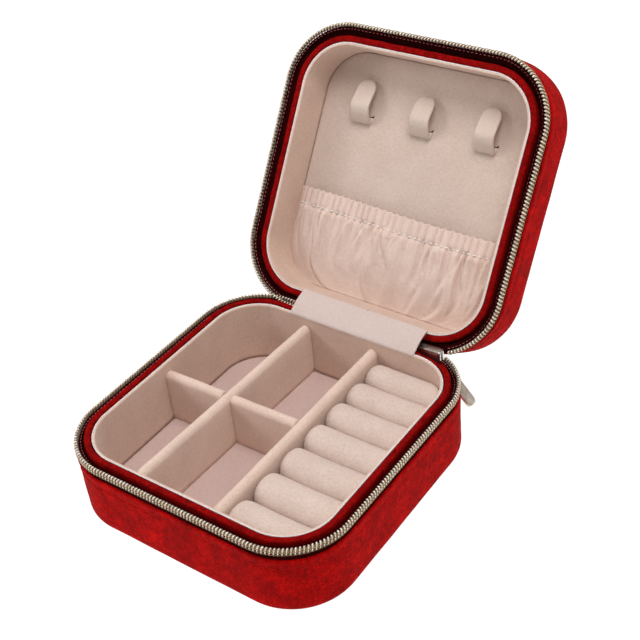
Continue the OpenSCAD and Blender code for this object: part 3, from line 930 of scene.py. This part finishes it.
DIV_T = box_mm("divider_long")[1][0] - box_mm("divider_long")[0][0]
LONG_X = (box_mm("divider_long")[1][0] + box_mm("divider_long")[0][0]) / 2
MID_X = (box_mm("divider_mid")[1][0] + box_mm("divider_mid")[0][0]) / 2
MID_SKEW, CROSS_SKEW = math.radians(-1.8), math.radians(1.2)
CROSS_Y = 1.0
reach = BASE_ROOM - 0.05
low_z = FLOOR_Z - 0.25


def mid_at(y):
    return MID_X - math.tan(MID_SKEW) * y


def cross_at(x):
    return CROSS_Y + math.tan(CROSS_SKEW) * (x - MID_X)


divider_block("divider_long_pad", "divider_long", (LONG_X, -reach), (LONG_X, reach),
              DIV_T, DIV_TOP, low_z)
divider_block("divider_mid_pad", "divider_mid", (mid_at(-reach), -reach), (mid_at(reach), reach),
              DIV_T, DIV_TOP, low_z)
left_end, right_end = MID_X - DIV_T / 2 - 0.12, MID_X + DIV_T / 2 + 0.04
divider_block("divider_cross_left", "divider_cross", (-reach, cross_at(-reach)),
              (left_end, cross_at(left_end)), DIV_T, DIV_TOP - 0.1, low_z)
divider_block("divider_cross_right", "divider_cross", (right_end, cross_at(right_end)),
              (LONG_X - DIV_T / 2 - 0.04, cross_at(LONG_X - DIV_T / 2)), DIV_T, DIV_TOP - 0.15, low_z)


def plan_limit(x, y, half, radius):
    """Pulls a plan point inside a rounded square."""
    c = half - radius
    x, y = max(-half, min(half, x)), max(-half, min(half, y))
    if abs(x) > c and abs(y) > c:
        dx, dy = abs(x) - c, abs(y) - c
        d = math.hypot(dx, dy)
        if d > radius:
            x = math.copysign(c + dx * radius / d, x)
            y = math.copysign(c + dy * radius / d, y)
    return x, y


ROLL_HALF, ROLL_R = BASE_ROOM - 0.2, BASE_R - HALF + BASE_ROOM - 0.2


def ring_roll(number):
    low, high = box_mm(f"ring_roll_{number}")
    node = f"ring_roll_{number}"
    mid_y, mid_z = (low[1] + high[1]) / 2, (low[2] + high[2]) / 2
    a, b = (high[1] - low[1]) / 2, (high[2] - low[2]) / 2
    if number in (1, 7):
        # the outer rolls are cut by the corner, so their axis comes from their height
        a = b
        mid_y = low[1] + a if number == 1 else high[1] - a
    x0, x1 = low[0] + 0.05, ROLL_HALF
    n_around, n_long, power = 28, 26, 2.5
    verts, stations = [], []
    for i in range(n_long + 1):
        t = i / n_long
        x = x0 + (x1 - x0) * (t ** 1.25)
        left = max(0.0, 1 - (x - x0) / 3.4)
        right = max(0.0, 1 - (x1 - x) / 1.6)
        s = (1 - left ** 2.6) ** (1 / 2.6) if left < 1 else 0.0
        s = max(0.3, s) * ((1 - right ** 2.4) ** (1 / 2.4) if right < 0.98 else 0.55)
        stations.append((x, s))
    for x, s in stations:
        for k in range(n_around):
            g = 2 * math.pi * k / n_around
            cy, cz = math.cos(g), math.sin(g)
            m = (abs(cy) ** power + abs(cz) ** power) ** (-1 / power)
            verts.append((x, mid_y + cy * m * a * 0.97 * s,
                          mid_z + cz * m * b * 0.96 * (0.35 + 0.65 * s)))
    faces = grid_faces(len(stations), n_around, wrap_rows=False)
    faces += end_faces(len(stations), n_around)

    def clamp(p):
        x, y, z = p
        y = min(mid_y + a - 0.04, max(mid_y - a + 0.04, y))
        x, y = plan_limit(max(x, x0 - 0.03), y, ROLL_HALF, ROLL_R)
        return x, y, min(z, mid_z + b + 0.1)

    soft_block(f"roll_{number}_suede", verts, faces, BASE_BODY, M_ROLL, voxel=0.85,
               pressure=3.0, cap=0.5, fill=0.85, nodes=[node], clamp=clamp)


for roll_number in range(1, 8):
    ring_roll(roll_number)


def run_cloth():
    """Swells every queued block at once, at a size where cloth behaves, and brings it back."""
    for job in soft_queue:
        obj = job["obj"]
        obj.data.transform(Matrix.Scale(SIM_SCALE, 4))
        remesh = obj.modifiers.new("remesh", "REMESH")
        remesh.mode = "VOXEL"
        remesh.voxel_size = job["voxel"] * MM * SIM_SCALE
        remesh.use_smooth_shade = True
        apply_modifiers(obj)
        job["rest"] = [v.co.copy() for v in obj.data.vertices]
    for job in soft_queue:
        cloth = job["obj"].modifiers.new("cloth", "CLOTH")
        st = cloth.settings
        st.quality = 5
        st.mass = 0.3
        st.tension_stiffness = st.compression_stiffness = 12
        st.shear_stiffness = 5
        st.bending_stiffness = 0.4
        st.use_pressure = True
        st.uniform_pressure_force = job["pressure"]
        st.effector_weights.gravity = 0
        cloth.collision_settings.use_self_collision = False
        cloth.collision_settings.use_collision = False
    for f in range(1, SIM_FRAMES + 1):
        scene.frame_set(f)
    for job in soft_queue:
        apply_modifiers(job["obj"])
    scene.frame_set(1)
    for job in soft_queue:
        obj = job["obj"]
        cap = job["cap"] * MM * SIM_SCALE
        for v, r in zip(obj.data.vertices, job["rest"]):
            d = v.co - r
            if d.length > cap:
                v.co = r + d.normalized() * cap
            v.co = v.co / SIM_SCALE
            v.co = Vector(job["clamp"](v.co / MM)) * MM
        obj.data.update()
        subdivide(obj, 1)
        for v in obj.data.vertices:
            p = v.co / MM
            crease = 0.035 * smooth_noise((p.x * 0.7, p.y, p.z), 1.8, 2)
            v.co += v.normal * crease * MM
            v.co = Vector(job["clamp"](v.co / MM)) * MM
        for p in obj.data.polygons:
            p.use_smooth = True
        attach(obj, job["body"])
        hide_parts(*job["nodes"])


run_cloth()

bed_low, bed_high = box_mm("ring_bed")
bed_path = loop_path(ROLL_HALF, ROLL_R, 1.5)[0]
outline = [(p[0], p[1]) for p in bed_path if p[0] > bed_low[0]]
outline.sort(key=lambda p: math.atan2(p[1], p[0] - bed_low[0] - 6))
outline = [(bed_low[0] + 0.2, outline[0][1])] + outline + [(bed_low[0] + 0.2, outline[-1][1])]
verts, loops = [], []
for z, inset in ((bed_low[2], 0.3), (bed_low[2] + 0.3, 0), (bed_high[2] - 0.3, 0), (bed_high[2], 0.3)):
    loops.append(len(verts))
    cx, cy = (bed_low[0] + bed_high[0]) / 2, 0
    for x, y in outline:
        verts.append((x + (cx - x) * inset * 0.06, y + (cy - y) * inset * 0.02, z))
n = len(outline)
faces = []
for a, b in zip(loops, loops[1:]):
    for i in range(n):
        j = (i + 1) % n
        faces.append((a + i, a + j, b + j, b + i))
faces.append(tuple(range(n)))
faces.append(tuple(loops[-1] + i for i in range(n)))
bed = make("ring_bed_foam", verts, faces, BASE_BODY, M_FOAM, smooth=False)
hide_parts("ring_bed")


# ---------------------------------------------------------------- hooks
def hook(name, node):
    low, high = lid_box_mm(node)
    x, width = (low[0] + high[0]) / 2, high[0] - low[0]
    tip_y = low[1]
    slit_y = high[1] - 2.6
    d = PANEL_Z
    spine = catmull([(slit_y - 0.3, d + 0.9), (slit_y + 0.2, d + 0.1), (slit_y + 0.95, d - 0.4),
                     (slit_y + 1.75, d - 0.6), (slit_y + 2.1, d - 1.05), (slit_y + 1.7, d - 1.65),
                     (slit_y + 0.3, d - 2.85), (slit_y - 1.2, d - 3.95), (slit_y - 3.0, d - 4.65),
                     (slit_y - 4.9, d - 4.35), (slit_y - 8.5, d - 3.0), (tip_y, d - 1.4)], 6)
    arc = [0.0]
    for a, b in zip(spine, spine[1:]):
        arc.append(arc[-1] + (b - a).length)
    total, r = arc[-1], width / 2
    half_t = 0.5
    verts = []
    for i, p in enumerate(spine):
        a, b = spine[max(0, i - 1)], spine[min(len(spine) - 1, i + 1)]
        tang = (b - a).normalized()
        nrm = Vector((-tang.y, tang.x))
        left = total - arc[i]
        w = r if left > r else math.sqrt(max(0.04, r * r - (r - left) ** 2))
        w *= 0.94 + 0.06 * min(1.0, left / total)
        t = half_t * (1.0 if left > 1 else 0.75 + 0.25 * left) * (0.6 + 0.4 * min(1.0, arc[i] / 5.0))
        sec = bevelled([(-w, -t), (w, -t), (w, t), (-w, t)], [0.4] * 4, 3)
        for u, v in sec:
            dome = 0.18 * (1 - (u / max(w, 0.3)) ** 2)
            q = p + nrm * (v + dome)
            verts.append((x + u, q.x, q.y))
    n = len(sec)
    faces = grid_faces(len(spine), n, wrap_rows=False)
    faces += end_faces(len(spine), n)
    obj = make(name, verts, faces, LID_BODY, M_HOOK, lid=True)
    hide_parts(node)
    # painted shade: a dark flat lozenge, a ring closed by a face, stands for the shade inside the slit
    slit_shade_ring = []
    for k in range(18):
        g = 2 * math.pi * k / 18
        slit_shade_ring.append((x + (width / 2 - 0.2) * math.cos(g), slit_y + 0.1 + 0.3 * math.sin(g), d - 0.02))
    verts, faces = tube(slit_shade_ring, [(0, 0, -1)] * 18, 0.17, sides=6, closed=True)
    faces.append(tuple(i * 6 for i in range(18)))
    make(name + "_slit_shade", verts, faces, LID_BODY, M_SLIT_SHADE, lid=True)
    # painted shade: a short dark tick at the outer end of the slit
    edge = x + width / 2
    slit_end_shade = ((edge - 0.6, slit_y + 0.15, d - 0.05), (edge + 0.35, slit_y - 0.75, d - 0.05), (0, 0, -1))
    capsules([slit_end_shade], 0.27, LID_BODY, M_SLIT_SHADE, name + "_slit_end_shade", lid=True)


for side in ("left", "centre", "right"):
    hook(f"hook_{side}_strip", f"hook_{side}")


# ---------------------------------------------------------------- gathered pocket
MOUTH_Y = lid_box_mm("pocket_cloth")[0][1]
EDGE = LID_ROOM + 0.12
EDGE_R = LID_R - HALF + EDGE
HEM = 5.6
# the pocket's folds fade out at this height, just short of its sewn edge
POCKET_FOOT = 40.5


def edge_x(y):
    """Half width of the pocket's sewn edge at height y."""
    c = EDGE - EDGE_R
    if y <= c:
        return EDGE
    return c + math.sqrt(max(0.0, EDGE_R ** 2 - (y - c) ** 2))


GATHERS, SHORT_FOLDS = 29, 42
ribs = []
at = -1.0
while at < 1.0:
    ribs.append(at)
    at += (2 / GATHERS) * random.uniform(0.75, 1.25)
ribs = np.array(ribs)
# each fold: where it starts, how far down it runs, its width, its lean and its height in mm
folds = [(at + random.uniform(-0.04, 0.04), random.uniform(1.1, 1.5), random.uniform(0.018, 0.026),
          random.uniform(-0.08, 0.08), random.uniform(1.3, 1.8)) for at in (-0.66, -0.21, 0.08, 0.4, 0.68)]
folds += [(random.uniform(-0.96, 0.96), random.uniform(0.25, 0.9), random.uniform(0.01, 0.022),
           random.uniform(-0.14, 0.14), random.choice((-1.1, 1.0, 1.2))) for _ in range(SHORT_FOLDS)]


def rib_wave(u):
    """Height 0 to 1 of the gathers at u, with one crest between each two neighbouring ribs."""
    i = int(np.searchsorted(ribs, u)) - 1
    i = max(0, min(len(ribs) - 2, i))
    t = (u - ribs[i]) / (ribs[i + 1] - ribs[i])
    t = min(1.0, max(0.0, t))
    return math.sin(math.pi * t) ** 0.7


def pocket_depth(u, v):
    """How far the cloth stands off the panel, in mm: u from -1 to 1 across, v from 0 to 1 down."""
    side = max(0.0, 1 - abs(u) ** 7)
    fall = v * (POCKET_FOOT - MOUTH_Y)
    mouth = 2.1 + 0.5 * math.sin(u * 5.0 + 1.0)
    belly = 3.1 * math.sin(math.pi * min(1.0, v * 0.9 + 0.1)) ** 0.8 if v < 1 else 0
    base = (mouth * (1 - v) ** 1.5 + belly) * side * (1 - 0.7 * v ** 9)
    hem = 1.0 if fall < HEM else math.exp(-((fall - HEM) / 4.5))
    wave = rib_wave(u)
    gathers = 1.15 * (wave - 0.5) * hem
    pinch = -0.55 * math.exp(-((fall - HEM) / 0.7) ** 2)
    fan = 0.0
    if fall > HEM * 0.8:
        t = (fall - HEM) / (POCKET_FOOT - MOUTH_Y - HEM)
        for centre, reach_v, width, lean, height in folds:
            sway = lean * t + 0.012 * math.sin(9 * t + 40 * centre)
            off = (u - centre - sway) / (width * (1 + 0.7 * t))
            # one flank steep, the other long and soft
            off = off if off < 0 else off * 0.42
            if abs(off) < 3:
                strength = max(0.0, 1 - t / reach_v) ** 0.6 * min(1.0, (fall - HEM * 0.8) / 2.5)
                crease = 0.45 * math.exp(-((off + 1.5) / 0.7) ** 2)
                fan += height * strength * (math.exp(-off * off) - crease)
    cloth = 0.35 * smooth_noise((u * 60, v * 26, 3.3), 8.0, 2) * min(1.0, fall / 6)
    relief = gathers + pinch + (fan + cloth) * (1 - 0.85 * v ** 8)
    return max(0.12, base + relief * (0.25 + 0.75 * side))


def pocket_point(u, v, lift=0.0):
    y = MOUTH_Y + v * (EDGE - 0.1 - MOUTH_Y)
    y += 0.5 * (rib_wave(u) - 0.5) * math.exp(-v * 28) - 0.5 * math.exp(-v * 9) * (1 - u * u)
    y += 0.7 * (1 - v) * math.sin(u * 2.4 + 0.6)
    x = u * (edge_x(y) - 0.1)
    return x, y, PANEL_Z - 0.15 - pocket_depth(u, v) - lift


nu, nv = 330, 64
verts = []
for j in range(nv + 1):
    v = (j / nv) ** 1.15
    for i in range(nu + 1):
        verts.append(pocket_point(-1 + 2 * i / nu, v))
# the turned-under back of the hem
back_rows = 12
for j in range(1, back_rows + 1):
    v = (HEM / (POCKET_FOOT - MOUTH_Y)) * j / back_rows
    for i in range(nu + 1):
        x, y, z = pocket_point(-1 + 2 * i / nu, v)
        verts.append((x, y, min(z + 0.75, PANEL_Z - 0.1)))
w = nu + 1
faces = grid_faces(nv + 1, w, wrap_rows=False, wrap_cols=False)
back = grid_faces(back_rows, w, wrap_rows=False, wrap_cols=False, offset=(nv + 1) * w)
faces += [tuple(reversed(f)) for f in back]
for i in range(nu):
    faces.append((i + 1, i, (nv + 1) * w + i, (nv + 1) * w + i + 1))
pocket = make("pocket_gathered", verts, faces, None, M_POCKET, lid=True)
solid = pocket.modifiers.new("thickness", "SOLIDIFY")
solid.thickness = 0.3 * MM
solid.offset = 0.0
apply_modifiers(pocket)
for p in pocket.data.polygons:
    p.use_smooth = True
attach(pocket, LID_BODY)
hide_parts("pocket_cloth", "pocket_elastic")

stitches = []
hem_v = HEM / (EDGE - 0.1 - MOUTH_Y)
STITCHES, STITCH_SHARE = 40, 0.66
sewn_from, sewn_width = -0.97, 1.94
for i in range(STITCHES):
    u0 = sewn_from + sewn_width * i / STITCHES
    u1 = u0 + sewn_width / STITCHES * STITCH_SHARE
    spots = [pocket_point(u0 + (u1 - u0) * k / 4, hem_v, 0.18) for k in range(5)]
    out_z = min(p[2] for p in spots)
    stitches.append(((*spots[0][:2], out_z), (*spots[-1][:2], out_z), (0, 0, -1)))
capsules(stitches, 0.21, LID_BODY, M_STITCH_WHITE, "pocket_stitches", lid=True)
# the butt joint of the lid lining, in the middle of the hinge side: a short dark capsule, painted shade of
# the notch there
capsules([((3.3, LID_ROOM - 0.1, LID_RIM + 1.0), (3.5, LID_ROOM + 0.15, LID_RIM - 0.4), (0, -1, 0))],
         0.2, LID_BODY, M_SLIT_SHADE, "lid_lining_joint_shade", lid=True)


# ---------------------------------------------------------------- hinge strap and spine
def crossing_sheet(name, path, x0, x1, thick, mat, nodes, wobble=0.04):
    """A strip of cloth across the hinge: path is its line in (y, z); it is built in the open pose and
    attached to no body.
    """
    line = catmull(path, 8)
    nx = max(2, round((x1 - x0) / 1.5))
    verts = []
    for i, p in enumerate(line):
        a, b = line[max(0, i - 1)], line[min(len(line) - 1, i + 1)]
        tang = (b - a).normalized()
        nrm = Vector((-tang.y, tang.x))
        for k in range(nx + 1):
            x = x0 + (x1 - x0) * k / nx
            d = wobble * smooth_noise((x, p.x, p.y), 4.0, 2)
            q = p + nrm * d
            verts.append((x, q.x, q.y))
    faces = grid_faces(len(line), nx + 1, wrap_rows=False, wrap_cols=False)
    obj = make(name, verts, faces, None, mat)
    solid = obj.modifiers.new("thickness", "SOLIDIFY")
    solid.thickness = thick * MM
    solid.offset = 0.0
    bevel = obj.modifiers.new("edge", "BEVEL")
    bevel.width = thick * 0.3 * MM
    bevel.segments = 2
    bevel.limit_method = "ANGLE"
    apply_modifiers(obj)
    for p in obj.data.polygons:
        p.use_smooth = True
    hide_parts(*nodes)
    length = sum((b - a).length for a, b in zip(line, line[1:]))
    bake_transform(obj)


def opened_yz(y, z):
    p = OPEN @ Vector((0, y, z))
    return (p.y, p.z)


near_rim, far_rim = (BASE_ROOM + 0.45, LINING_TOP + 0.3), opened_yz(LID_ROOM + 0.45, LID_RIM - 0.3)
strap_path = [(BASE_ROOM + 0.12, LINING_TOP - 0.5), near_rim]
for k in (1, 2, 3, 4):
    t = k / 5
    bow = 0.55 * math.sin(math.pi * t)
    strap_path.append((near_rim[0] * (1 - t) + far_rim[0] * t - bow * 0.45,
                       near_rim[1] * (1 - t) + far_rim[1] * t + bow))
strap_path += [far_rim, opened_yz(LID_ROOM + 0.12, LID_RIM + 0.5)]
crossing_sheet("hinge_strap", strap_path, STRAP_LO, STRAP_HI, 0.6, M_STRAP,
               ["hinge_strap_base", "hinge_strap_lid"], wobble=0.0)

spine_low, spine_high = box_mm("spine_base")
spine_path = [(HALF - 1.0, WALL_TOP - 2.6), (HALF - 1.0, WALL_TOP - 0.9), (HALF - 1.1, WALL_TOP + 0.4),
              (HALF - 1.35, WALL_TOP + 1.8), (HALF - 1.75, ZIP_Z - 0.9), (HALF - 2.05, ZIP_Z + 0.15)]
spine_path += [opened_yz(y, 2 * ZIP_Z - z) for y, z in reversed(spine_path[:-1])]
crossing_sheet("spine_velvet", spine_path, spine_low[0], spine_high[0], 0.5, M_SPINE,
               ["spine_base", "spine_lid"], wobble=0.1)


# ---------------------------------------------------------------- slider and pull
def stack(outline, rings, centre, place):
    """A solid from copies of a flat outline: rings lists (level, inset), each copy is drawn in towards
    centre(p) by its inset, and place(u, v, level) puts a point in space."""
    verts = []
    for level, inset in rings:
        for p in outline:
            c = centre(p)
            d = math.hypot(p[0] - c[0], p[1] - c[1]) or 1.0
            verts.append(place(p[0] - (p[0] - c[0]) / d * inset, p[1] - (p[1] - c[1]) / d * inset, level))
    faces = grid_faces(len(rings), len(outline), wrap_rows=False)
    return verts, faces + end_faces(len(rings), len(outline))


def plate(outline, y0, y1, bevel=0.18):
    """A flat part in the XZ plane between two Y planes, with soft edges."""
    middle = (sum(p[0] for p in outline) / len(outline), sum(p[1] for p in outline) / len(outline))
    rings = ((y0, bevel), (y0 + bevel * 0.35, bevel * 0.3), (y0 + bevel, 0.0), (y1 - bevel, 0.0),
             (y1 - bevel * 0.35, bevel * 0.3), (y1, bevel))
    return stack(outline, rings, lambda p: middle, lambda x, z, y: (x, y, z))


def join_parts(parts):
    verts, faces = [], []
    for v, f in parts:
        base = len(verts)
        verts += list(v)
        faces += [tuple(i + base for i in face) for face in f]
    return verts, faces


def slider_mesh():
    """Two plates, the wedge and the guides between them, and the lug that holds the pull."""
    low, high = box_mm("slider_body")
    x, half_len = PULL_AT[0], 4.5
    plate_low, plate_high = 22.6, high[2]
    inner_y, outer_y = low[1], high[1]
    mid_z = (plate_low + plate_high) / 2
    outline = bevelled(
        [(x - half_len, plate_low + 0.5), (x - 0.5, plate_low + 0.15), (x + half_len, plate_low),
         (x + half_len, plate_high), (x - 0.5, plate_high - 0.15), (x - half_len, plate_high - 0.5)],
        [0.9, 1.2, 0.9, 0.9, 1.2, 0.9], 4)
    wedge = bevelled([(x - 3.4, mid_z - 0.7), (x - 0.4, mid_z - 0.35), (x - 0.4, mid_z + 0.35),
                      (x - 3.4, mid_z + 0.7)], 0.3, 3)
    lug = bevelled([(x - 1.5, PULL_AT[2] - 1.3), (x + 1.5, PULL_AT[2] - 1.3), (x + 1.5, plate_low + 0.6),
                    (x - 1.5, plate_low + 0.6)], [0.8, 0.8, 0.2, 0.2], 4)
    parts = [plate(outline, inner_y, inner_y + 0.75), plate(outline, outer_y - 0.75, outer_y),
             plate(wedge, inner_y + 0.5, outer_y - 0.5)]
    for z0, z1 in ((plate_low, plate_low + 0.6), (plate_high - 0.6, plate_high)):
        guide = bevelled([(x - 1.6, z0), (x + 4.4, z0), (x + 4.4, z1), (x - 1.6, z1)], 0.2, 2)
        parts.append(plate(guide, inner_y + 0.3, outer_y - 0.3, 0.1))
    parts.append(plate(lug, outer_y - 0.42, outer_y - 0.02, 0.12))
    return join_parts(parts)


def pull_mesh():
    """The pull in its own axes (across x, out y, down -z): a flat bar on edge, a short neck and an eye."""
    length, width, thick = 20.5, 4.2, 1.5
    eye_y = box_mm("pull_tab")[0][1]
    wire_y = eye_y + 0.42
    outline = bevelled([(eye_y, -3.6), (eye_y, -length), (eye_y + width, -length), (eye_y + width, -5.4),
                        (eye_y + 0.9, -3.6)], [0.2, 1.9, 1.9, 1.2, 0.6], 7)
    half_t = thick / 2
    rings = ((-half_t, 0.3), (-half_t + 0.08, 0.12), (-half_t + 0.3, 0.0), (half_t - 0.3, 0.0),
             (half_t - 0.08, 0.12), (half_t, 0.3))
    bar = stack(outline, rings, lambda p: (eye_y + width / 2, max(-length + width / 2, min(-6.0, p[1]))),
                lambda y, z, x: (x, y, z))
    turns = [2 * math.pi * k / 24 for k in range(24)]
    eye = tube([(0.98 * math.cos(g), wire_y, 0.98 * math.sin(g)) for g in turns], [(0, 1, 0)] * 24,
               0.36, sides=10, closed=True)
    neck = tube([(0, wire_y, -0.9 - 0.3 * k) for k in range(12)], [(1, 0, 0)] * 12, 0.42, sides=10)
    return join_parts([bar, eye, neck])


PULL_LEAN = math.radians(42)


def tab_place(v):
    """From the tab's own axes to the row frame, at its rest lean."""
    x, y, z = v
    return (PULL_AT[0] + x * math.cos(PULL_LEAN) - z * math.sin(PULL_LEAN), y,
            PULL_AT[2] + x * math.sin(PULL_LEAN) + z * math.cos(PULL_LEAN))


verts, faces = slider_mesh()
slider = make("slider_shell", verts, faces, "slider", M_SLIDER)
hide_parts("slider_body")
verts, faces = pull_mesh()
tab = make("pull_bar", [tab_place(v) for v in verts], faces, "pull", M_PULL)
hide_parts("pull_tab")


# ---------------------------------------------------------------- materials of the CAD nodes that stay
for node, mat in {"base_side_board": M_BOARD, "base_floor_board": M_BOARD, "lid_side_board": M_BOARD,
                  "lid_top_board": M_BOARD, "slider_pin": M_SLIDER}.items():
    obj = frame["nodes"][node]
    obj.data.materials.clear()
    obj.data.materials.append(mat)
